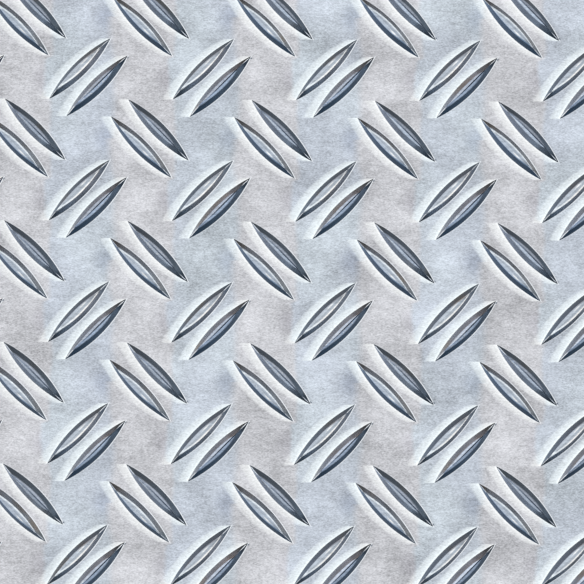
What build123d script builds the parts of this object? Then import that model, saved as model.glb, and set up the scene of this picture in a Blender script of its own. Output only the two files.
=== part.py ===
"""One cut panel of rolled aluminium tread plate with the two-bar ("duet") pattern.

The panel lies flat with its smooth back at Z = 0 and its tread up.
The origin is the middle of the back. X runs along the rolling direction.
All sizes are in millimetres.

Each tread bar is a lens seen from above, with sides of constant slope.
Such a side is a cone about the centre of the lens's arc, so a bar is the part
that two turned cones have in common. Where its sides meet near the tips they
form the sloping ridge of the real bar.
"""

import math
import os

from build123d import *

# Panel: a cut blank of 2.5/4 plate, that is 2.5 mm thick and 4 mm over the tread.
PANEL_LENGTH = 200.0
PANEL_WIDTH = 150.0
PLATE_THICKNESS = 2.5

# Tread: pairs of bars stand at +45 degrees, and between them pairs at -45 degrees.
TREAD_HEIGHT = 1.5
PITCH_ALONG = 28.8
PITCH_ACROSS = 28.4
PAIR_SPACING = 5.7
BAR_LENGTH = 20.0
BAR_WIDTH = 3.3
BAR_ANGLE = 45.0

# The left bar of a pair has a broad, low crown. The right one has wider sides and a keen crown.
BROAD_FLANK_RUN = 0.85
BROAD_CROWN_RISE = 0.15
KEEN_FLANK_RUN = 0.97
KEEN_CROWN_RISE = 0.32

# The roll's pattern is cut where the shear happens to cross it: this is its shift on the panel.
PATTERN_SHIFT_X = 9.7
PATTERN_SHIFT_Y = -7.0


def lens_side(flank_run, crown_rise):
    """One side of a bar: a disc whose rim slopes up the flank and then over the crown."""
    half_length, half_width = BAR_LENGTH / 2, BAR_WIDTH / 2
    arc_radius = (half_length**2 + half_width**2) / BAR_WIDTH
    arc_centre = arc_radius - half_width
    shoulder_height = TREAD_HEIGHT - crown_rise
    rim = Polyline(
        (0, 0),
        (arc_radius, 0),
        (arc_radius - flank_run, shoulder_height),
        (arc_centre, TREAD_HEIGHT),
        (0, TREAD_HEIGHT),
        close=True,
    )
    section = Plane.XZ * make_face(rim)
    return Pos(0, -arc_centre, 0) * revolve(section, Axis.Z)


def tread_bar(flank_run, crown_rise):
    """A whole bar along X, centred on the origin, standing on Z = 0."""
    side = lens_side(flank_run, crown_rise)
    return side & mirror(side, about=Plane.XZ)


def bar_pair(angle):
    """The two bars of a pair, turned to the pattern's angle, with the broad one on its left."""
    broad = tread_bar(BROAD_FLANK_RUN, BROAD_CROWN_RISE)
    keen = tread_bar(KEEN_FLANK_RUN, KEEN_CROWN_RISE)
    leftward = math.copysign(PAIR_SPACING / 2, angle)
    return [
        Rot(0, 0, angle) * Pos(0, leftward, 0) * broad,
        Rot(0, 0, angle) * Pos(0, -leftward, 0) * keen,
    ]


def pattern_places(shift_x, shift_y):
    """Where one set of pairs stands: a grid that reaches past every edge of the panel."""
    reach_x = math.ceil(PANEL_LENGTH / PITCH_ALONG / 2) + 1
    reach_y = math.ceil(PANEL_WIDTH / PITCH_ACROSS / 2) + 1
    return [
        Pos(shift_x + i * PITCH_ALONG, shift_y + j * PITCH_ACROSS, PLATE_THICKNESS)
        for i in range(-reach_x, reach_x + 1)
        for j in range(-reach_y, reach_y + 1)
    ]


def on_panel(bar, blank):
    """The part of a bar that is left once the panel is sheared: all of it, a cut end or nothing."""
    box = bar.bounding_box()
    half_x, half_y = PANEL_LENGTH / 2, PANEL_WIDTH / 2
    if max(-box.max.X, box.min.X) >= half_x or max(-box.max.Y, box.min.Y) >= half_y:
        return []
    if max(box.max.X, -box.min.X) <= half_x and max(box.max.Y, -box.min.Y) <= half_y:
        return [bar]
    cut = bar & blank
    return cut.solids() if cut else []


def tread_sheet():
    """The panel in one piece: plate and bars."""
    base_up = (Align.CENTER, Align.CENTER, Align.MIN)
    plate = Box(PANEL_LENGTH, PANEL_WIDTH, PLATE_THICKNESS, align=base_up)
    blank = Box(PANEL_LENGTH, PANEL_WIDTH, PLATE_THICKNESS + 2 * TREAD_HEIGHT, align=base_up)
    rising = pattern_places(PATTERN_SHIFT_X, PATTERN_SHIFT_Y)
    falling = pattern_places(PATTERN_SHIFT_X + PITCH_ALONG / 2, PATTERN_SHIFT_Y + PITCH_ACROSS / 2)
    bars = []
    for places, angle in ((rising, BAR_ANGLE), (falling, -BAR_ANGLE)):
        for bar in bar_pair(angle):
            for place in places:
                bars += on_panel(place * bar, blank)
    return plate.fuse(*bars)


os.makedirs("parts", exist_ok=True)
export_step(tread_sheet(), "parts/tread_sheet.step")
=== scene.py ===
# %% [markdown]
# # A panel of aluminium tread plate
# This scene dresses one cut panel of rolled tread plate. The packed model gives its size,
# and everything here is built inside that size. The camera looks straight down on the tread.

import math

import bmesh
import bpy
from mathutils import Matrix, Vector


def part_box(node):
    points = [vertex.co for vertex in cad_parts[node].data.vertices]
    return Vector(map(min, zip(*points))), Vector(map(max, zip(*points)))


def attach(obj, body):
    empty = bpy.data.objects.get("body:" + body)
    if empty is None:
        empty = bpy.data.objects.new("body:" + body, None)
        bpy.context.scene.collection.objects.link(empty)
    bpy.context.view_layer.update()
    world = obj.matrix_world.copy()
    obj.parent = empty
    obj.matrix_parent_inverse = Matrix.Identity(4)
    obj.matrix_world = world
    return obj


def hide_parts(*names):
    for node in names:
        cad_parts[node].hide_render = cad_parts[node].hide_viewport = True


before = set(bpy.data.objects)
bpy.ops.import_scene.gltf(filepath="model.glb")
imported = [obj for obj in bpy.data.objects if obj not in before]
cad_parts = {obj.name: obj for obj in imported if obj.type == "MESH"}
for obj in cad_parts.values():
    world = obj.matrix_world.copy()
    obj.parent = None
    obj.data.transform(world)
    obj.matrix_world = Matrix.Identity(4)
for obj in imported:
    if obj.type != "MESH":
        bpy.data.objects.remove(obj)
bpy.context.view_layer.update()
low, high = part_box("tread_sheet")
MM = 0.001
PANEL_LENGTH, PANEL_WIDTH, FULL_HEIGHT = ((high - low) / MM)[:]
print("panel in mm:", round(PANEL_LENGTH, 3), round(PANEL_WIDTH, 3), round(FULL_HEIGHT, 3))

# %% [markdown]
# ## The rolled pattern
# Pairs of bars lean one way, and halfway between them stand pairs that lean the other way.
# All sizes are in millimetres, because the bars are small, and the finished mesh is scaled
# to metres once. The same few numbers place the bars and, later, the marks beside them.

# %% Sizes of the pattern
TREAD_HEIGHT = 1.5
PLATE_TOP = FULL_HEIGHT - TREAD_HEIGHT
PITCH_ALONG = 28.8
PITCH_ACROSS = 28.4
PAIR_SPACING = 5.7
BAR_LENGTH = 20.0
BAR_WIDTH = 3.3
BAR_ANGLE = 45.0
RISING_PAIR = Vector((9.7, -7.0, 0.0))
FALLING_PAIR = RISING_PAIR + Vector((PITCH_ALONG / 2, PITCH_ACROSS / 2, 0.0))

ARC_RADIUS = ((BAR_LENGTH / 2) ** 2 + (BAR_WIDTH / 2) ** 2) / BAR_WIDTH
ARC_CENTRE = ARC_RADIUS - BAR_WIDTH / 2
print("radius of a bar's long sides:", round(ARC_RADIUS, 2), "mm")

# %% [markdown]
# ## The section of a bar
# A bar is a lens seen from above. Its height only depends on how far a point lies inside the
# outline, so one short section is enough: a small fillet at the foot, a straight flank, a
# tight shoulder and a low crown. The left bar of a pair is broad on top. The right one was
# filled less by the roll: its flanks are longer and its crown rises to a crest.

# %% Two sections, each as (distance inside the outline, height)
BROAD_SECTION = (
    (-0.10, 0.0), (-0.03, 0.02), (0.03, 0.08), (0.09, 0.175),
    (0.79, 1.29), (0.83, 1.34), (1.00, 1.375), (1.35, 1.445), (1.65, 1.5),
)
KEEN_SECTION = (
    (-0.10, 0.0), (-0.03, 0.02), (0.03, 0.07), (0.09, 0.15),
    (0.83, 1.12), (0.91, 1.20), (0.99, 1.255), (1.12, 1.31), (1.42, 1.42), (1.65, 1.53),
)
# The point of either section where its straight flank ends.
FLANK_TOP = 4
print("flanks rise to", BROAD_SECTION[FLANK_TOP][1], "and", KEEN_SECTION[FLANK_TOP][1], "mm")

# %% [markdown]
# ## One bar by spinning its section
# Each long side of the lens is an arc, so the section is spun about that arc's centre. That
# gives a curved wall that runs past the tips. A cut along the middle of the bar trims it, and
# the ridge that the real bar has at its tips appears by itself. A mirror makes the other half.

# %% Spin half a bar
BAR_STEPS = 14
PAST_THE_TIP = 0.01
RIDGE_HALF_WIDTH = 0.065
CUT_REACH = 1e-4


def whole(shape):
    """Everything in a bmesh, as its operators want it."""
    return shape.verts[:] + shape.edges[:] + shape.faces[:]


def half_bar(section):
    """Half a bar along X, with a line scored beside its middle for the edge of the ridge."""
    shape = bmesh.new()
    points = [shape.verts.new((0, ARC_RADIUS - inside, height)) for inside, height in section]
    edges = [shape.edges.new(pair) for pair in zip(points, points[1:])]
    reach = math.acos(ARC_CENTRE / (ARC_RADIUS - section[0][0])) + PAST_THE_TIP
    turn = Matrix.Rotation(reach, 3, "Z")
    bmesh.ops.rotate(shape, verts=points, cent=(0, 0, 0), matrix=turn)
    bmesh.ops.spin(shape, geom=points + edges, cent=(0, 0, 0), axis=(0, 0, 1), dvec=(0, 0, 0),
                   angle=-2 * reach, steps=BAR_STEPS, use_merge=False, use_duplicate=False)
    bmesh.ops.translate(shape, verts=shape.verts[:], vec=(0, -ARC_CENTRE, 0))
    for from_middle, trims in ((0.0, True), (RIDGE_HALF_WIDTH, False)):
        bmesh.ops.bisect_plane(shape, geom=whole(shape), dist=CUT_REACH, clear_inner=trims,
                               plane_co=(0, from_middle, 0), plane_no=(0, 1, 0))
    return shape


# %% [markdown]
# ## Blunt ridges, a fold and a lean
# A spun section is too perfect. On the real bars the ridges at the tips are blunt, the keen
# crown has a shallow fold along its crest, and towards the tips the upper part leans a little
# to the left. The first two lower the points on the middle line, and because of the fold the
# keen section may end a little above the tread. The lean grows with height and with the square
# of the distance from the bar's middle, so the foot of the bar stays where it was.

# %% Shape the ridges and make the bars
RIDGE_DROP = 0.09
RIDGE_BLUNT_FROM = 0.4
FOLD_DEPTH = 0.10
NEAR = 1e-3
# How far the top of a bar leans, at 8 mm to the left and to the right of its middle.
LEAN_REACH = 8
BROAD_LEAN = (0.33, 0.01)
KEEN_LEAN = (0.40, 0.11)


def lower_middle_line(shape, flank_top, has_fold):
    """Blunts the ridges below the crown and, on a keen bar, presses the fold into the crown."""
    for vert in shape.verts:
        if vert.co.y < NEAR and vert.co.z < flank_top - 0.01:
            vert.co.z -= RIDGE_DROP * min(1.0, vert.co.z / RIDGE_BLUNT_FROM)
        elif vert.co.y < NEAR and has_fold:
            vert.co.z -= FOLD_DEPTH


def lean_to_left(shape, lean, lean_sign):
    """Moves the upper part of a bar to the panel's left, more so towards its tips."""
    for vert in shape.verts:
        end_lean = lean[0] if vert.co.x < 0 else lean[1]
        rise = vert.co.z / TREAD_HEIGHT
        vert.co.y += lean_sign * end_lean * rise * (vert.co.x / LEAN_REACH) ** 2


def make_bar(name, section, lean, lean_sign, has_fold):
    """A bar along X, open below, with its foot on Z = 0."""
    shape = half_bar(section)
    lower_middle_line(shape, section[FLANK_TOP][1], has_fold)
    bmesh.ops.mirror(shape, geom=whole(shape), matrix=Matrix.Identity(4), merge_dist=NEAR, axis="Y")
    bmesh.ops.remove_doubles(shape, verts=shape.verts[:], dist=NEAR)
    lean_to_left(shape, lean, lean_sign)
    mesh = bpy.data.meshes.new(name)
    shape.to_mesh(mesh)
    print(name, len(shape.faces), "faces, height", round(max(v.co.z for v in shape.verts), 3))
    shape.free()
    return mesh


bars = {}
for lean_sign in (1, -1):
    bars[lean_sign, "broad"] = make_bar("broad_bar", BROAD_SECTION, BROAD_LEAN, lean_sign, False)
    bars[lean_sign, "keen"] = make_bar("keen_bar", KEEN_SECTION, KEEN_LEAN, lean_sign, True)

# %% [markdown]
# ## The pattern on the sheet
# Every bar that touches the panel is set down whole, and a frame is laid round them all. The
# skin of the plate is then filled in between the frame and the feet of the bars, so bars and
# plate share their edges, as in metal that was rolled in one piece.

# %% Set the bars down
SLANT = math.sqrt(0.5)
BAR_REACH = BAR_LENGTH / 2 * SLANT + 1.0


def places(centre):
    """Where the pairs of one kind stand on and just outside the panel."""
    columns = math.ceil(PANEL_LENGTH / PITCH_ALONG / 2) + 1
    rows = math.ceil(PANEL_WIDTH / PITCH_ACROSS / 2) + 1
    return [
        centre + Vector((i * PITCH_ALONG, j * PITCH_ACROSS, 0))
        for i in range(-columns, columns + 1)
        for j in range(-rows, rows + 1)
    ]


def touches_panel(middle):
    """Whether any of a bar whose middle stands here could lie on the panel."""
    past_x = abs(middle.x) - PANEL_LENGTH / 2
    past_y = abs(middle.y) - PANEL_WIDTH / 2
    return max(past_x, past_y) <= BAR_REACH


sheet = bmesh.new()
count = 0
for centre, lean_sign in ((RISING_PAIR, 1), (FALLING_PAIR, -1)):
    turn = Matrix.Rotation(math.radians(BAR_ANGLE * lean_sign), 4, "Z")
    for kind, side in (("broad", 1), ("keen", -1)):
        beside = turn @ Vector((0, PAIR_SPACING / 2 * lean_sign * side, 0))
        for place in places(centre):
            if touches_panel(place + beside):
                first = len(sheet.verts)
                sheet.from_mesh(bars[lean_sign, kind])
                sheet.verts.ensure_lookup_table()
                move = Matrix.Translation(place + beside) @ turn
                bmesh.ops.transform(sheet, matrix=move, verts=sheet.verts[first:])
                count += 1
print(count, "bars on and round the panel")

# %% Fill the skin between the bars
rims = [edge for edge in sheet.edges if edge.is_boundary]
margin = 2 * BAR_REACH + 5
border = bmesh.ops.create_grid(sheet, x_segments=1, y_segments=1, size=1)["verts"]
for vert in border:
    vert.co.x *= PANEL_LENGTH / 2 + margin
    vert.co.y *= PANEL_WIDTH / 2 + margin
border_face = list(border[0].link_faces)
border_edges = list(border_face[0].edges)
bmesh.ops.delete(sheet, geom=border_face, context="FACES_ONLY")
skin = bmesh.ops.triangle_fill(sheet, edges=rims + border_edges, use_beauty=True, normal=(0, 0, 1))
print(len(skin["geom"]), "parts of skin filled")

# %% [markdown]
# ## Shearing the panel
# The panel is cut from a larger sheet wherever the shear falls, through bars and all. Four
# cuts with a plane do the same here. Just inside each cut two more lines are scored, and the
# lip is lowered a little, because a shear drags the top edge down before it breaks through.

# %% Shear the four sides
HALF_SIZES = ((0, PANEL_LENGTH / 2), (1, PANEL_WIDTH / 2))
# How far the lip is dragged down on the cut and on the two lines inside it.
LIP_DROPS = {0.0: 0.16, 0.12: 0.06, 0.35: 0.0}
for axis, half in HALF_SIZES:
    for way in (1, -1):
        out = Vector((0, 0, 0))
        out[axis] = way
        for inset in LIP_DROPS:
            bmesh.ops.bisect_plane(sheet, geom=whole(sheet), dist=CUT_REACH, clear_outer=inset == 0,
                                   plane_co=out * (half - inset), plane_no=out)
for vert in sheet.verts:
    from_edge = min(half - abs(vert.co[axis]) for axis, half in HALF_SIZES)
    for inset, drop in LIP_DROPS.items():
        if abs(from_edge - inset) < NEAR:
            vert.co.z -= drop
bmesh.ops.translate(sheet, verts=sheet.verts[:], vec=(0, 0, PLATE_TOP))
print("corners on the sheared panel:", len(sheet.verts))

# %% [markdown]
# ## The sheared walls and the back
# The outline is extruded down to form the walls and then drawn in by a small bevel, and one
# flat face closes the back. Edges that bend only a little are shaded smooth, so that the
# fillets and arcs look round, while shoulders and cut edges stay crisp.

# %% Close the walls and the back
BACK_BEVEL = 0.12


def drop_outline(shape, edges, height, inset):
    """Extrudes the outline's edges to a height, drawn in from the panel's sides."""
    made = bmesh.ops.extrude_edge_only(shape, edges=edges)["geom"]
    for vert in made:
        if isinstance(vert, bmesh.types.BMVert):
            vert.co.z = height
            for axis, half in HALF_SIZES:
                if abs(vert.co[axis]) > half - NEAR:
                    vert.co[axis] = math.copysign(half - inset, vert.co[axis])
    return [edge for edge in made if isinstance(edge, bmesh.types.BMEdge)]


outline = [edge for edge in sheet.edges if edge.is_boundary]
outline = drop_outline(sheet, outline, BACK_BEVEL, 0.0)
outline = drop_outline(sheet, outline, 0.0, BACK_BEVEL)
bmesh.ops.contextual_create(sheet, geom=outline)
bmesh.ops.remove_doubles(sheet, verts=sheet.verts[:], dist=CUT_REACH)
bmesh.ops.recalc_face_normals(sheet, faces=sheet.faces[:])
print("open edges:", sum(edge.is_boundary for edge in sheet.edges),
      "tangled edges:", sum(not edge.is_manifold for edge in sheet.edges))
print("volume in mm3:", round(sheet.calc_volume(signed=True)))

# %% Shade the edges and finish the mesh
SHARP = math.radians(27)
for face in sheet.faces:
    face.smooth = True
for edge in sheet.edges:
    edge.smooth = edge.calc_face_angle(0) < SHARP
bmesh.ops.scale(sheet, verts=sheet.verts[:], vec=(MM, MM, MM))
panel_mesh = bpy.data.meshes.new("tread_panel")
sheet.to_mesh(panel_mesh)
print("triangles:", sum(len(face.verts) - 2 for face in sheet.faces))
sheet.free()
panel = bpy.data.objects.new("tread_panel", panel_mesh)
bpy.context.scene.collection.objects.link(panel)
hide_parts("tread_sheet")
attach(panel, "root")

# %% [markdown]
# ## Sums in a material
# A material's sums are easier to read as sums than as boxes and wires. This small class wraps
# one socket, and each operator on it adds the node that works it out.


# %% Wires that can be added up
class Wire:
    """One socket of a node tree, so that a sum in Python becomes nodes."""

    def __init__(self, tree, socket=None):
        self.tree = tree
        self.socket = socket

    def node(self, kind, settings, sockets, out=0):
        """Adds a node of any kind: its settings first, then the values or wires of its sockets."""
        made = self.tree.nodes.new(kind)
        for name, value in settings.items():
            setattr(made, name, value)
        for name, value in sockets.items():
            if isinstance(value, Wire):
                self.tree.links.new(value.socket, made.inputs[name])
            else:
                made.inputs[name].default_value = value
        return Wire(self.tree, made.outputs[out])

    def maths(self, operation, *others):
        values = dict(enumerate((self,) + others))
        return self.node("ShaderNodeMath", {"operation": operation}, values)

    def __add__(self, other):
        return self.maths("ADD", other)

    def __sub__(self, other):
        return self.maths("SUBTRACT", other)

    def __rsub__(self, other):
        return self.node("ShaderNodeMath", {"operation": "SUBTRACT"}, {0: other, 1: self})

    def __mul__(self, other):
        return self.maths("MULTIPLY", other)

    def __truediv__(self, other):
        return self.maths("DIVIDE", other)

    __radd__ = __add__
    __rmul__ = __mul__

    def size(self):
        return self.maths("ABSOLUTE")

    def root(self):
        return self.maths("SQRT")

    def above(self, other):
        return self.maths("GREATER_THAN", other)

    def most(self, other):
        return self.maths("MAXIMUM", other)

    def least(self, other):
        return self.maths("MINIMUM", other)

    def between(self, first, second):
        """Goes from the first value to the second while this one goes from 0 to 1."""
        return self * (second - first) + first

    def wrapped(self, half):
        """The value brought back into the range from -half to half."""
        return self.maths("WRAP", half, -half)

    def ramp(self, start, end, low=0.0, high=1.0):
        """Goes softly from low to high while the value goes from start to end."""
        return self.node("ShaderNodeMapRange", {"interpolation_type": "SMOOTHSTEP"},
                         {0: self, 1: start, 2: end, 3: low, 4: high})

    def part(self, axis):
        """The X, Y or Z part of a vector."""
        return self.node("ShaderNodeSeparateXYZ", {}, {0: self}, out=axis)

    def tint(self, colour, other):
        """A colour that turns into another one as this value goes from 0 to 1."""
        return self.node("ShaderNodeMix", {"data_type": "RGBA"}, {0: self, 6: colour, 7: other}, out=2)

    def over(self, colour):
        """This colour laid over another one, so that each darkens the other."""
        return self.node("ShaderNodeVectorMath", {"operation": "MULTIPLY"}, {0: self, 1: colour})

    def lit(self, colour):
        """A colour made brighter or darker by this value."""
        if not isinstance(colour, Wire):
            colour = colour[:3]
        return self.node("ShaderNodeVectorMath", {"operation": "SCALE"}, {0: colour, 3: self})

    def noise(self, detail=2.0):
        """Noise from -1 to 1 at the place that this vector gives."""
        raw = self.node("ShaderNodeTexNoise", {}, {"Vector": self, "Scale": 1.0, "Detail": detail})
        return (raw - 0.5) * 2.0


print("operations on a wire:", sum(callable(value) for value in vars(Wire).values()))

# %% [markdown]
# ## Where a point lies in the pattern
# The material has to know where the bars are. Marks painted on each bar would only fit this
# one panel. Instead the material folds the whole panel into one repeat round a pair, turns
# that so that the bars lie flat, and folds the pair into one bar. Then the arc that made the
# bar also tells how far inside its outline a point lies.

# %% Start the material and find a point on the panel
aluminium = bpy.data.materials.new("rolled_aluminium")
aluminium.use_nodes = True
tree = aluminium.node_tree
tree.nodes.clear()
start = Wire(tree)
on_panel = start.node("ShaderNodeTexCoord", {}, {}, out="Object")
in_mm = start.node("ShaderNodeVectorMath", {"operation": "SCALE"}, {0: on_panel, 3: 1 / MM})
x = in_mm.part("X")
y = in_mm.part("Y")
z = in_mm.part("Z")
print("nodes for the place:", len(tree.nodes))


# %% Distances in the pattern
def oval(off_x, off_y, reach_x, reach_y):
    """How far a point is from the middle of an oval, with 1 on the oval's outline."""
    share_x = off_x / reach_x
    share_y = off_y / reach_y
    return (share_x * share_x + share_y * share_y).root()


def inside_outline(along, left):
    """How far inside the outline of a bar a point lies."""
    off_axis = left.size() + ARC_CENTRE
    return ARC_RADIUS - (along * along + off_axis * off_axis).root()


def left_of_outline(across_x, across_y, way):
    """How far left of one bar's outline a point lies, and how far from the bar's middle in Y."""
    shift = way * PAIR_SPACING / 2 * SLANT
    off_y = across_y - shift
    bulge = off_y + ARC_CENTRE * SLANT
    outline_x = ARC_CENTRE * SLANT - (ARC_RADIUS ** 2 - bulge * bulge).root()
    return outline_x - shift - across_x, off_y.size()


# %% One pair of bars, as the material sees it
# Painted shade in an oval left of each pair, and painted light in an oval to its right.
SHADE_PATCH_SHIFT = 10.2
SHADE_PATCH_REACH = (4.2, 4.8)
LIGHT_PATCH_SHIFT = (17.7, 1.4)
LIGHT_PATCH_REACH = (5.0, 5.0)


def pair_marks(centre, mirrored):
    """Where a point lies by the nearest pair: along a bar, to its left, inside it and beside it."""
    across_x = (x - centre.x).wrapped(PITCH_ALONG / 2)
    across_y = (y - centre.y).wrapped(PITCH_ACROSS / 2)
    shade_patch_x = (x - centre.x + SHADE_PATCH_SHIFT).wrapped(PITCH_ALONG / 2)
    shade_patch = oval(shade_patch_x, across_y, *SHADE_PATCH_REACH)
    light_patch_x = (x - centre.x + LIGHT_PATCH_SHIFT[0]).wrapped(PITCH_ALONG / 2)
    light_patch = oval(light_patch_x, across_y + LIGHT_PATCH_SHIFT[1], *LIGHT_PATCH_REACH)
    if mirrored:
        across_y = across_y * -1.0
    along = (across_x + across_y) * SLANT
    left_in_pair = (across_y - across_x) * SLANT
    is_broad = left_in_pair.above(0.0)
    left = left_in_pair + PAIR_SPACING / 2 - is_broad * PAIR_SPACING
    return {
        "along": along, "left": left, "broad": is_broad, "inward": inside_outline(along, left),
        "band gaps": [left_of_outline(across_x, across_y, way) for way in (1, -1)],
        "shade_patch": shade_patch.ramp(1.0, 0.1), "light_patch": light_patch.ramp(1.0, 0.1),
    }


rising = pair_marks(RISING_PAIR, mirrored=False)
falling = pair_marks(FALLING_PAIR, mirrored=True)
print("nodes for the pattern:", len(tree.nodes))

# %% [markdown]
# ## The grain of the plate
# Rolled aluminium has a fine grain that is drawn out along the rolling direction, and on top
# of it blotches and clouds of all sizes. An image could hold them, but noise works at any
# distance and never repeats. Five layers of it, each with its own size of lump, are added up.


# %% Grain and clouds
def grain(across_x, across_y, across_z, detail=2.0, seed=0.0):
    """Noise whose lumps are about 1/across millimetres long each way."""
    settings = {0: in_mm, 1: (seed, 2 * seed, 0), 3: (across_x, across_y, across_z)}
    return start.node("ShaderNodeMapping", {}, settings).noise(detail)


fine = grain(2.2, 5.5, 2.2, detail=1.0)
mottle = grain(0.5, 0.9, 0.5, seed=5.0)
streak = grain(0.25, 1.6, 0.25, seed=7.0)
patches = grain(0.2, 0.26, 0.2, detail=0.5, seed=9.0)
cloud = grain(0.07, 0.1, 0.07, detail=0.5, seed=3.0)
speckle = 1.0 + fine * 0.58 + mottle * 0.18 + streak * 0.1 + patches * 0.16 + cloud * 0.3
print("nodes with the grain:", len(tree.nodes))

# %% [markdown]
# ## The colour of the plate
# The plate is a pale, faintly cool grey, but not the same all over. Strips of it are cooler
# round the columns of rising pairs and warmer round the falling ones, and they reach further
# to the left beside each pair. To the left of a pair lies a faint oval of painted shade and to
# its right one of painted light, and a soft painted shade follows the right side of each bar to
# its right tip. All of them repeat with the pattern, so they are worked out from it.

# %% Cooler and warmer strips
COOL_PLATE = (0.525, 0.572, 0.640, 1)
FRESH_PLATE = (0.550, 0.607, 0.660, 1)
WARM_PLATE = (0.586, 0.594, 0.624, 1)
STRIP_SHIFT = 1.35
STRIP_LEFT = -7.25
STRIP_RIGHT = 7.4
STEP_BY_PAIR = 1.4
strip_x = x - RISING_PAIR.x + STRIP_SHIFT + cloud * 1.2 + mottle * 0.3
strip_x = strip_x.wrapped(PITCH_ALONG / 2)
strip_y = (y - RISING_PAIR.y).wrapped(PITCH_ACROSS / 2)
left_edge = STRIP_LEFT - strip_y.size().ramp(5.0, 4.2) * STEP_BY_PAIR
right_edge = STRIP_RIGHT - strip_y.ramp(3.0, 9.0)
cool_strip = (strip_x - left_edge).ramp(-0.8, 0.7) * (right_edge - strip_x).ramp(-1.4, 1.2)
freshness = grain(0.06, 0.05, 0.06, detail=0.5, seed=23.0).ramp(-0.3, 0.3)
colour = cool_strip.tint(WARM_PLATE, freshness.tint(COOL_PLATE, FRESH_PLATE))
seam_shade = (strip_x - STRIP_RIGHT).size().ramp(3.5, 0.5) * 0.035
colour = (1.0 - seam_shade).lit(colour)
print("nodes with the strips:", len(tree.nodes))

# %% Painted shade, painted light and shades beside the bars
PLAIN = (1.0, 1.0, 1.0, 1)
WARM_SHADE_PATCH = (0.855, 0.845, 0.865, 1)
COOL_SHADE_PATCH = (0.81, 0.825, 0.87, 1)
LIGHT_PATCH_STRENGTH = 0.06
TRAILING_SHADE = 0.1
PLATE_ROUGHNESS = 0.44
in_warm = (rising, 1 - cool_strip, WARM_SHADE_PATCH)
in_cool = (falling, cool_strip, COOL_SHADE_PATCH)
for marks, strip, shade_patch_tone in (in_warm, in_cool):
    # Painted shade in the darker oval, painted light in the lighter one, and painted shade along the
    # right side of each bar's far half.
    colour = colour.over((strip * marks["shade_patch"]).tint(PLAIN, shade_patch_tone))
    colour = (1 + marks["light_patch"] * LIGHT_PATCH_STRENGTH).lit(colour)
    far_half = marks["along"].ramp(0.0, 7.0) * marks["along"].ramp(10.5, 9.5)
    trailing = marks["inward"].ramp(-1.3, -0.2) * far_half * marks["left"].ramp(0.2, -0.2)
    colour = (1 - trailing * TRAILING_SHADE).lit(colour)
colour = speckle.lit(colour)
roughness = PLATE_ROUGHNESS + fine * 0.06
print("nodes with the plate:", len(tree.nodes))

# %% [markdown]
# ## The painted light bands
# To the left of each bar lies a band of painted light, a little smoother than the plate and
# brightest next to the bar. The band is the bar's outline dragged along X. So its far edge needs
# no curve of its own: it is where the distance to the bar reaches a fixed width.

# %% Bands
# Painted light: a lighter colour laid on the plate beside each bar, brightest next to it.
COOL_LIGHT_BAND = (0.785, 0.850, 0.880, 1)
WARM_LIGHT_BAND = (0.800, 0.820, 0.828, 1)
BAND_ROUGHNESS = 0.36
LIGHT_BAND_WIDTH = 2.45
BAND_TOP = BAR_LENGTH / 2 * SLANT


def brightest(masks):
    """Several masks as one."""
    joined = masks[0]
    for mask in masks[1:]:
        joined = joined.most(mask)
    return joined


bands = []
light_next_to_bar = []
for gap, off_y in rising["band gaps"] + falling["band gaps"]:
    band = (gap + mottle * 0.25).ramp(LIGHT_BAND_WIDTH + 0.4, LIGHT_BAND_WIDTH - 0.5) * gap.ramp(LIGHT_BAND_WIDTH + 0.2, 0.0, 0.5, 1.0)
    band = band * gap.above(-0.02) * off_y.ramp(BAND_TOP + 0.15, BAND_TOP - 0.1)
    bands.append(band)
    light_next_to_bar.append(band * gap.ramp(0.75, 0.2))
light_band = brightest(bands)
light_band_colour = cool_strip.tint(WARM_LIGHT_BAND, COOL_LIGHT_BAND)
light_band_colour = (1.0 + brightest(light_next_to_bar) * 0.15 + fine * 0.28 + mottle * 0.08).lit(light_band_colour)
colour = light_band.tint(colour, light_band_colour)
roughness = light_band.between(roughness, BAND_ROUGHNESS)
print("nodes with the bands:", len(tree.nodes))

# %% [markdown]
# ## The flanks of the bars
# The flanks are smoother than the plate, and painted shade and painted reflection make them darker
# and tint them from grey to navy. How dark depends on which way a flank faces, so their tint
# follows the normal of the surface, and no mask is needed for each side. A thin brown tint lies in
# patches on the flanks that face the rear.

# %% Which way the surface faces
facing = start.node("ShaderNodeTexCoord", {}, {}, out="Normal")
facing_x = facing.part("X")
facing_y = facing.part("Y")
squared_x = facing_x * facing_x
squared_y = facing_y * facing_y
along_x = (squared_x / (squared_x + squared_y + 1e-4)).ramp(0.15, 0.98)
to_right = facing_x.ramp(-0.05, 0.05)
to_front = facing_y.ramp(0.05, -0.05)
print("nodes with the facing:", len(tree.nodes))

# %% Tint of the flanks
# Painted shade and painted reflection: each flank is darkened by the way it faces, most and bluest
# where it faces the front.
LEFT_FLANK_SHADE = (0.435, 0.515, 0.645, 1)
RIGHT_FLANK_SHADE = (0.545, 0.59, 0.655, 1)
REAR_FLANK_SHADE = (0.236, 0.242, 0.264, 1)
FRONT_FLANK_SHADE = (0.090, 0.128, 0.170, 1)
WARM_PATCH_TINT = (1.02, 0.88, 0.74, 1)
across = to_front.tint(REAR_FLANK_SHADE, FRONT_FLANK_SHADE)
flank = along_x.tint(across, to_right.tint(LEFT_FLANK_SHADE, RIGHT_FLANK_SHADE))
warm_patches = grain(0.14, 0.14, 0.1, seed=11.0).ramp(0.05, 0.45) * (1 - to_front)
flank = flank.over(warm_patches.tint(PLAIN, WARM_PATCH_TINT))
print("nodes with the flanks:", len(tree.nodes))
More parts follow.
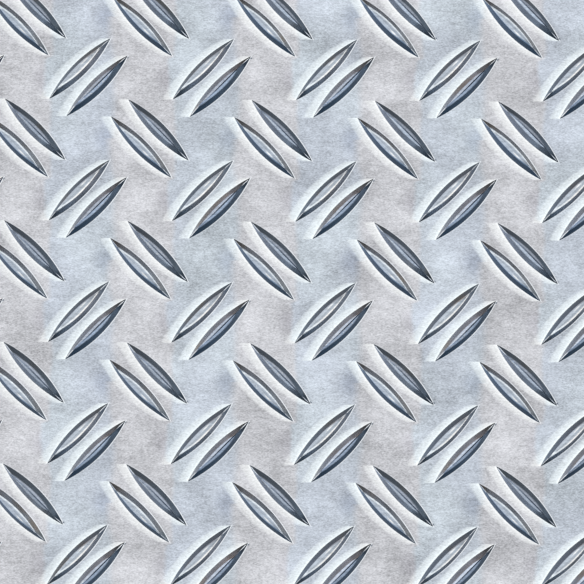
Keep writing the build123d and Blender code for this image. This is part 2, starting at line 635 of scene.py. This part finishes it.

# %% [markdown]
# ## Tones of the two pairs
# The rising and the falling pairs don't look alike. Each kind has its own small list of tones,
# most of them painted light and shade, and the steps below are then the same for both. The word
# shading stands for painted light and shade laid over the flanks, and slope for how much that
# painted light grows from the left tip to the right.

# %% Tones
# Most tones are painted light and shade: the keen crown's two sides, the streak, left end and ridge
# highlights, the fold's shade and the four shading tones of the flanks.
RISING_TONES = {
    "crown": (0.50, 0.56, 0.63, 1),
    "streak": (0.94, 0.945, 0.93, 1),
    "left end": (0.82, 0.89, 0.94, 1),
    "keen left": (0.67, 0.75, 0.88, 1),
    "keen right": (0.435, 0.542, 0.70, 1),
    "keen left shading": (2.06, 1.77, 1.55, 1),
    "keen right shading": (0.52, 0.645, 0.765, 1),
    "broad left shading": (1.06, 1.05, 1.04, 1),
    "broad right shading": (0.95, 0.95, 0.97, 1),
    "ridge": (0.92, 0.96, 1.0, 1),
    "fold place": 0.0,
    "fold strength": 1.1,
    "slope": 0.0,
}
FALLING_TONES = {
    "crown": (0.46, 0.525, 0.61, 1),
    "streak": (0.76, 0.82, 0.87, 1),
    "left end": (0.72, 0.78, 0.83, 1),
    "keen left": (0.50, 0.588, 0.71, 1),
    "keen right": (0.468, 0.525, 0.62, 1),
    "keen left shading": (1.66, 1.62, 1.64, 1),
    "keen right shading": (0.59, 0.67, 0.72, 1),
    "broad left shading": (0.92, 1.03, 1.16, 1),
    "broad right shading": (1.11, 1.06, 0.97, 1),
    "ridge": (0.76, 0.82, 0.90, 1),
    "fold place": -0.09,
    "fold strength": 0.85,
    "slope": 0.34,
}
print("tones of each pair:", len(RISING_TONES), len(FALLING_TONES))

# %% [markdown]
# ## Where a crown begins
# The shoulder between flank and crown wanders a little along the bar, and it leans to the left
# with the bar. The mask below repeats the lean of the mesh, so colour and shape meet. Here and
# in the next cells, lengths along a bar run from -10 at its left tip to 10 at its right tip.

# %% Crowns as a mask
BROAD_SHOULDER = 0.83
KEEN_SHOULDER = 0.90
above_plate = z - PLATE_TOP


def left_of_lean(marks):
    """How far a point lies to the left of the bar's leaning middle line."""
    broad, along = marks["broad"], marks["along"]
    at_left_tip = broad.between(KEEN_LEAN[0], BROAD_LEAN[0])
    at_right_tip = broad.between(KEEN_LEAN[1], BROAD_LEAN[1])
    lean = along.above(0.0).between(at_left_tip, at_right_tip)
    return marks["left"] - lean * above_plate * along * along / (LEAN_REACH ** 2 * TREAD_HEIGHT)


def crown_mask(marks):
    """1 on the crown of a bar and 0 on its flanks."""
    along = marks["along"]
    on_left = marks["skewed"].ramp(-0.1, 0.1)
    broad_start = BROAD_SHOULDER + on_left * along.ramp(0.0, 5.0, 0.10, 0.24)
    broad_start = broad_start - along.ramp(-5.0, -6.8) * 0.15
    broad_start = broad_start - (1 - on_left) * along.ramp(5.0, 6.5) * 0.13
    keen_start = KEEN_SHOULDER + along.ramp(3.0, 6.0) * 0.2 - along.ramp(-3.5, -6.0) * 0.13
    keen_start = keen_start + on_left.between(along.ramp(-2.0, 2.0, 0.0, -0.07), 0.03)
    crown_start = marks["broad"].between(keen_start, broad_start)
    return (marks["depth"] - crown_start).ramp(-0.05, 0.05)


for marks in (rising, falling):
    marks["skewed"] = left_of_lean(marks)
    marks["depth"] = inside_outline(marks["along"], marks["skewed"])
    marks["crown"] = crown_mask(marks)
print("nodes with the crowns' places:", len(tree.nodes))

# %% [markdown]
# ## The colour of the crowns
# A broad crown is a dull grey with painted shade along its middle, on its right half and towards
# its right end, and painted highlights: a streak along its right half, a spot and a bright left end.
# A keen crown falls to both sides of its fold: painted light makes its left side paler, a painted
# highlight lies beside the fold towards the left end, and painted shade darkens the fold and the
# right end. Fine painted glints lie on both. Each is a mask along and across the bar, laid over the
# one before.

# %% Marks on the crowns
# Colours of the painted highlights and glints, of the painted highlight beside the fold and of the
# painted shade in the fold.
BRIGHT = (0.94, 0.945, 0.93, 1)
FOLD_SIDE_HIGHLIGHT = (0.76, 0.82, 0.89, 1)
FOLD_SIDE_HIGHLIGHT_PLACE = 0.27
FOLD = (0.05, 0.08, 0.13, 1)
glint_areas = grain(0.035, 0.035, 0.035, detail=0.0, seed=13.0).ramp(0.2, 0.36)
glints = glint_areas * grain(3.0, 4.0, 3.0, seed=15.0).ramp(0.1, 0.3)


def soft_spot(marks, along, left, length, width):
    """A soft oval mark on a bar, at a place along it and to its left."""
    return oval(marks["along"] - along, marks["left"] - left, length, width).ramp(1.0, 0.3)


def broad_crown(marks, tones):
    """The colour of a broad crown."""
    along, skewed = marks["along"], marks["skewed"]
    # Painted shade along the middle, on the right half and towards the right end.
    middle_shade = skewed.size().ramp(0.16, 0.06) * 0.18
    crown = (1.0 - middle_shade - skewed.ramp(0.0, -0.1) * 0.1).lit(tones["crown"])
    crown = (1.0 - along.ramp(2.5, 6.0) * skewed.ramp(-0.3, 0.0) * 0.4).lit(crown)
    # Painted highlights: a streak along the right half, a gleam and the bright left end.
    streak_mask = (marks["depth"] + along.ramp(1.0, 5.0) * 0.2).ramp(1.26, 1.1)
    streak_mask = streak_mask * skewed.ramp(-0.02, -0.14) * along.ramp(9.0, 6.0)
    streak_tone = along.ramp(-5.0, 0.0).tint(tones["left end"], tones["streak"])
    crown = streak_mask.tint(crown, streak_tone)
    gleam = soft_spot(marks, along=1.9, left=0.34, length=1.5, width=0.2)
    crown = (gleam * 0.8).tint(crown, BRIGHT)
    return along.ramp(-4.6, -5.8).tint(crown, tones["left end"])


def keen_crown(marks, tones):
    """The colour of a keen crown beside its fold."""
    along, skewed = marks["along"], marks["skewed"]
    # Painted light and shade: the left side is paler and the right side darker, and a painted
    # highlight lies beside the fold.
    crown = skewed.ramp(0.03, -0.03).tint(tones["keen left"], tones["keen right"])
    fold_side_highlight = (skewed - FOLD_SIDE_HIGHLIGHT_PLACE).size().ramp(0.14, 0.04) * along.ramp(2.0, -3.0) * 0.6
    return fold_side_highlight.tint(crown, FOLD_SIDE_HIGHLIGHT)


# %% Crowns in colour
def crown_colour(marks, tones):
    """The colour of both kinds of crown, with painted glints, painted shade in the fold and the grain.
    """
    along, is_keen = marks["along"], 1 - marks["broad"]
    crown = marks["broad"].tint(keen_crown(marks, tones), broad_crown(marks, tones))
    # Painted glints, then painted shade in the fold and at a keen crown's right end.
    crown = (glints * marks["broad"].between(0.55, 0.3)).tint(crown, BRIGHT)
    from_fold = marks["skewed"] - tones["fold place"] + along.ramp(1.0, -4.0) * 0.08
    fold = from_fold.size().ramp(0.22, 0.05) * along.ramp(-6.0, 2.5, 0.1, 1.0)
    crown = (fold * is_keen * tones["fold strength"]).tint(crown, FOLD)
    end_shade = is_keen * along.ramp(4.4, 6.4) * 0.4
    return (1.0 - end_shade + streak * 0.35 + fine * 0.28).lit(crown)


for marks, tones in ((rising, RISING_TONES), (falling, FALLING_TONES)):
    marks["crown colour"] = crown_colour(marks, tones)
print("nodes with the crowns:", len(tree.nodes))

# %% [markdown]
# ## Painted light along the flanks
# The flanks don't look alike along a bar. Painted light brightens them in places, painted shade
# darkens them at the right tip, and fine lines are drawn along them. The blunt ridges at the tips
# get a pale painted highlight. All of this only changes the tint that the facing gave.

# %% Flanks and ridges in colour
KEEN_TIP_SHADE = (0.39, 0.45, 0.49, 1)
BROAD_TIP_SHADE = (0.76, 0.88, 0.96, 1)


def flank_light(marks, tones):
    """How the painted light and shade of a flank change along a bar."""
    along, broad = marks["along"], marks["broad"]
    keen_flank_light = along.ramp(-1.0, 1.5, 1.24, 0.9)
    broad_flank_light = 1.14 - along.size().ramp(4.2, 0.0) * 0.42
    tip_shade = along.ramp(6.6, 8.0, 1.0, 0.66) * (1.0 - along.ramp(-6.6, -8.0) * broad * 0.3)
    light = to_right.between(1.0, broad.between(keen_flank_light, broad_flank_light) * tip_shade)
    steepness = to_right.between(0.25, broad.between(0.6, 1.0)) * tones["slope"]
    light = light * (1.0 + (along.ramp(-6.0, 5.0) - 0.5) * steepness)
    dark_end = (1 - broad) * along.ramp(3.4, 5.0) * marks["skewed"].ramp(-0.05, 0.05) * 0.42
    return light * (1.0 - dark_end)


def flank_colour(marks, tones):
    """The colour of a bar's flanks."""
    along, broad = marks["along"], marks["broad"]
    left_shading = broad.tint(tones["keen left shading"], tones["broad left shading"])
    right_shading = broad.tint(tones["keen right shading"], tones["broad right shading"])
    # Painted light and shade along the flank, then painted shade at its right tip.
    side = flank_light(marks, tones).lit(flank.over(to_right.tint(left_shading, right_shading)))
    side = side.over(along.ramp(6.0, 8.4).tint(PLAIN, broad.tint(KEEN_TIP_SHADE, BROAD_TIP_SHADE)))
    along_and_in = {0: along * 0.2, 1: marks["inward"] * 7.0}
    drawn_lines = start.node("ShaderNodeCombineXYZ", {}, along_and_in).noise()
    return (1.0 + drawn_lines * 0.3 + fine * 0.12).lit(side)


def ridge_mask(marks):
    """1 on the blunt ridges at the tips of a bar."""
    along, broad = marks["along"], marks["broad"]
    right_tip = along.above(0.0)
    half_width = right_tip.between(broad.between(0.12, 0.09), broad.between(0.08, 0.10))
    ridge = (marks["skewed"].size() - half_width).ramp(0.02, -0.02) * above_plate.ramp(0.1, 0.35)
    right_ridge = broad.between(along.ramp(7.0, 8.4), 1.0)
    return ridge * (1 - marks["crown"]) * right_tip.between(1.0, right_ridge)


for marks, tones in ((rising, RISING_TONES), (falling, FALLING_TONES)):
    # The ridge tone is a painted highlight on the blunt ridges at the tips.
    marks["flank colour"] = ridge_mask(marks).tint(flank_colour(marks, tones), tones["ridge"])
print("nodes with the flanks' wear:", len(tree.nodes))

# %% [markdown]
# ## The feet of the bars
# A painted highlight runs as a thin bright line along the foot of each bar's right side, and some
# keen bars have a dark dot at the right tip. Inside the outline the bars' own colours then take the
# plate's place.
# That outline swells a little on opposite sides of the two ends, as it does on the real bars.

# %% Feet, and the bars laid on the plate
FOOT_HIGHLIGHT = (0.92, 0.96, 1.0, 1)
TIP_DOT = FOLD
FLANK_ROUGHNESS = 0.34
CROWN_ROUGHNESS = 0.42


def with_foot_marks(colour, marks):
    """The plate's colour with the painted highlight and the dark dot at the foot of a bar."""
    along, inward = marks["along"], marks["inward"]
    # Painted highlight: a thin bright line just outside the foot of the bar's right side.
    foot_highlight = inward.ramp(-0.24, -0.16) * inward.ramp(0.0, -0.08) * marks["left"].ramp(0.05, -0.12)
    foot_highlight = foot_highlight * along.ramp(-10.0, 5.0, 0.25, 1.0) * along.ramp(10.6, 10.3)
    tip_dot = soft_spot(marks, along=9.75, left=-0.36, length=0.4, width=0.24)
    tip_dot = tip_dot * (1 - marks["broad"]) * patches.ramp(-0.2, 0.1) * 0.8
    return tip_dot.tint(foot_highlight.tint(colour, FOOT_HIGHLIGHT), TIP_DOT)


def bar_mask(marks):
    """1 inside the outline of a bar."""
    along, left = marks["along"], marks["left"]
    swell = along.ramp(4.0, 9.0) * left.ramp(0.0, 0.2) * 0.08
    swell = swell + along.ramp(-4.0, -8.0) * left.ramp(0.0, -0.2) * 0.04
    return (marks["inward"] + swell).ramp(-0.03, 0.05)


for marks in (rising, falling):
    in_bar = bar_mask(marks)
    bar_colour = marks["crown"].tint(marks["flank colour"], marks["crown colour"])
    colour = in_bar.tint(with_foot_marks(colour, marks), bar_colour)
    bar_roughness = marks["crown"].between(FLANK_ROUGHNESS, CROWN_ROUGHNESS)
    roughness = in_bar.between(roughness, bar_roughness)
print("nodes with the bars:", len(tree.nodes))

# %% [markdown]
# ## The cut edges and the back
# A shear first presses a smooth band into the wall of the cut and then tears the rest, so the
# upper part of each wall is bright and the lower part is grey and coarse. The back only touched
# a smooth roll and shows long faint lines along the rolling direction.

# %% Cut edges and back
SHEARED = (0.66, 0.685, 0.71, 1)
TORN = (0.40, 0.415, 0.43, 1)
MILLED = (0.60, 0.62, 0.645, 1)
SHEARED_ROUGHNESS = 0.38
TORN_ROUGHNESS = 0.62
MILLED_ROUGHNESS = 0.38
from_edge = (PANEL_LENGTH / 2 - x.size()).least(PANEL_WIDTH / 2 - y.size())
wall = from_edge.ramp(0.02, 0.005).most(z.ramp(BACK_BEVEL + 0.04, BACK_BEVEL + 0.005))
pressed = (z + grain(0.9, 0.9, 0.1, seed=17.0) * 0.35).ramp(1.35, 1.55)
down_lines = grain(4.0, 4.0, 0.3, seed=19.0)
cut = pressed.tint((1.0 + fine * 0.7).lit(TORN), (1.0 + down_lines * 0.25).lit(SHEARED))
colour = wall.tint(colour, cut)
roughness = wall.between(roughness, pressed.between(TORN_ROUGHNESS, SHEARED_ROUGHNESS))
back = z.ramp(0.02, 0.005)
roll_lines = grain(0.02, 3.0, 1.0, detail=3.0, seed=21.0)
colour = back.tint(colour, (1.0 + roll_lines * 0.22 + cloud * 0.12).lit(MILLED))
roughness = back.between(roughness, MILLED_ROUGHNESS + roll_lines * 0.1)
print("nodes with walls and back:", len(tree.nodes))

# %% Finish the material
GRAIN_RELIEF = 0.006
STREAK_RELIEF = 0.004
TORN_RELIEF = 0.03
bump_height = fine * GRAIN_RELIEF + streak * STREAK_RELIEF
bump_height = bump_height + wall * (1 - pressed) * fine * TORN_RELIEF
bump = start.node("ShaderNodeBump", {}, {"Strength": 1.0, "Distance": MM, "Height": bump_height})
shader = start.node("ShaderNodeBsdfPrincipled", {}, {"Base Color": colour, "Metallic": 1.0,
                                                      "Roughness": roughness, "Normal": bump})
output = tree.nodes.new("ShaderNodeOutputMaterial")
tree.links.new(shader.socket, output.inputs["Surface"])
panel_mesh.materials.append(aluminium)
print("nodes in the material:", len(tree.nodes))

# %% [markdown]
# ## Floor and light
# The plate lies on a plain pale floor under one large soft lamp. Round it the room is dimmer,
# so that flat metal shows the lamp and steep metal shows the room.

# %% Floor
FLOOR_RADIUS = 5.0
FLOOR_DEPTH = 0.0001
FLOOR_PAINT = (0.86, 0.86, 0.86, 1)
floor_shape = bmesh.new()
bmesh.ops.create_circle(floor_shape, cap_ends=True, segments=64, radius=FLOOR_RADIUS)
bmesh.ops.translate(floor_shape, verts=floor_shape.verts[:], vec=(0, 0, -FLOOR_DEPTH))
floor_mesh = bpy.data.meshes.new("floor")
floor_shape.to_mesh(floor_mesh)
floor_shape.free()
floor = bpy.data.objects.new("floor", floor_mesh)
bpy.context.scene.collection.objects.link(floor)
paint = bpy.data.materials.new("floor_paint")
paint.use_nodes = True
paint_shader = paint.node_tree.nodes["Principled BSDF"]
paint_shader.inputs["Base Color"].default_value = FLOOR_PAINT
paint_shader.inputs["Roughness"].default_value = 0.9
floor_mesh.materials.append(paint)
print("floor across, in m:", 2 * FLOOR_RADIUS)

# %% Lamp and room
LAMP_SIZE = 2.2
LAMP_HEIGHT = 1.2
LAMP_BRIGHTNESS = 0.775
ROOM_LIGHT = (0.37, 0.37, 0.375, 1)
lamp_data = bpy.data.lights.new("overhead_softbox", "AREA")
lamp_data.shape = "SQUARE"
lamp_data.size = LAMP_SIZE
lamp_data.energy = LAMP_BRIGHTNESS * math.pi * LAMP_SIZE ** 2
lamp = bpy.data.objects.new("overhead_softbox", lamp_data)
lamp.location = (0, 0, LAMP_HEIGHT)
bpy.context.scene.collection.objects.link(lamp)

room = bpy.data.worlds.new("studio")
room.use_nodes = True
room.node_tree.nodes["Background"].inputs["Color"].default_value = ROOM_LIGHT
bpy.context.scene.world = room
print("lamp in watts:", round(lamp_data.energy, 2))

# %% [markdown]
# ## Camera
# The photograph looks straight down. Its frame spans 136.4 mm of the plate, and the plate is
# turned in it by a third of a degree.

# %% Camera
FRAME_SPAN = 136.4
VIEW_DISTANCE = 455.0
SENSOR_WIDTH = 36.0
VIEW_SHIFT = -0.077
VIEW_TURN = math.radians(0.33)
camera_data = bpy.data.cameras.new("camera")
camera_data.sensor_width = SENSOR_WIDTH
camera_data.lens = SENSOR_WIDTH * VIEW_DISTANCE / FRAME_SPAN
camera = bpy.data.objects.new("camera", camera_data)
camera.location = (VIEW_SHIFT * MM, VIEW_SHIFT * MM, (PLATE_TOP + VIEW_DISTANCE) * MM)
camera.rotation_euler = (0, 0, VIEW_TURN)
bpy.context.scene.collection.objects.link(camera)
bpy.context.scene.camera = camera
bpy.context.scene.view_settings.view_transform = "Standard"
print("lens in mm:", round(camera_data.lens, 1))
